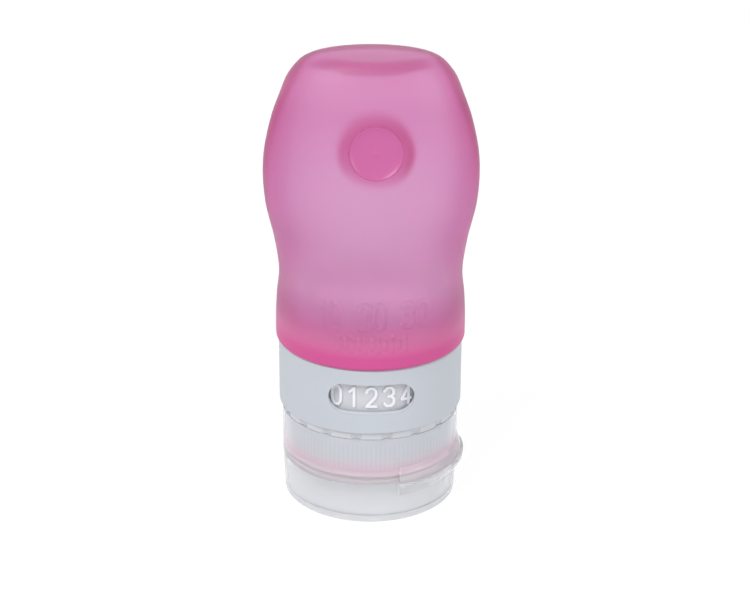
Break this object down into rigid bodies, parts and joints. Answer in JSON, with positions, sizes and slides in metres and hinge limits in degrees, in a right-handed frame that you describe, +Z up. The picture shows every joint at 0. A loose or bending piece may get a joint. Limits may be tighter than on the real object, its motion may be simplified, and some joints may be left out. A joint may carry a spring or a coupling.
{
  "type": "squeeze bottle",
  "caption": "Soft silicone travel squeeze bottle standing on its flip cap, with a screw cap, a collar with a window, a turning ring of raised numbers and a small suction cup.",
  "frame": {"origin": "centre of the flip lid's flat foot, on the surface that the bottle stands on", "axes": "+Z up through the cap, collar and body, -Y towards the front with the window and the suction cup, +X towards the right seen from the front"},
  "size_m": [0.0392, 0.0352, 0.0854],
  "materials": {
    "silicone": "satin",
    "suction_silicone": "gloss",
    "valve_silicone": "satin",
    "collar_plastic": "satin",
    "cap_plastic": "satin",
    "lid_plastic": "satin"
  },
  "bodies": {
    "bottle": {"squeeze_body": "silicone", "neck_sleeve": "silicone", "suction_cup": "suction_silicone", "collar": "collar_plastic", "threaded_neck": "collar_plastic"},
    "label": {"label_ring": "collar_plastic"},
    "valve": {"drip_valve": "valve_silicone"},
    "cap": {"cap_base": "cap_plastic", "valve_retainer": "cap_plastic", "film_hinge": "cap_plastic"},
    "lid": {"flip_lid": "lid_plastic"}
  },
  "joints": [
    {"name": "label_turn", "type": "hinge", "parent": "bottle", "child": "label", "pos_m": [0, 0, 0.0235], "axis": [0, 0, 1], "continuous": true},
    {"name": "cap_lift", "type": "slide", "parent": "bottle", "child": "valve", "axis": [0, 0, -1], "range_m": [0, 0.00251]},
    {"name": "cap_turn", "type": "hinge", "parent": "valve", "child": "cap", "pos_m": [0, 0, 0.0125], "axis": [0, 0, -1], "range_deg": [0, 360]},
    {"name": "lid_hinge", "type": "hinge", "parent": "cap", "child": "lid", "pos_m": [-0.01451, 0.00838, 0.0081], "axis": [0.5, 0.866, 0], "range_deg": [0, 180], "deforming": ["film_hinge"]}
  ],
  "couplings": [
    {"joint": "cap_lift", "follows": "cap_turn", "m_per_rad": 0.00039789}
  ]
}
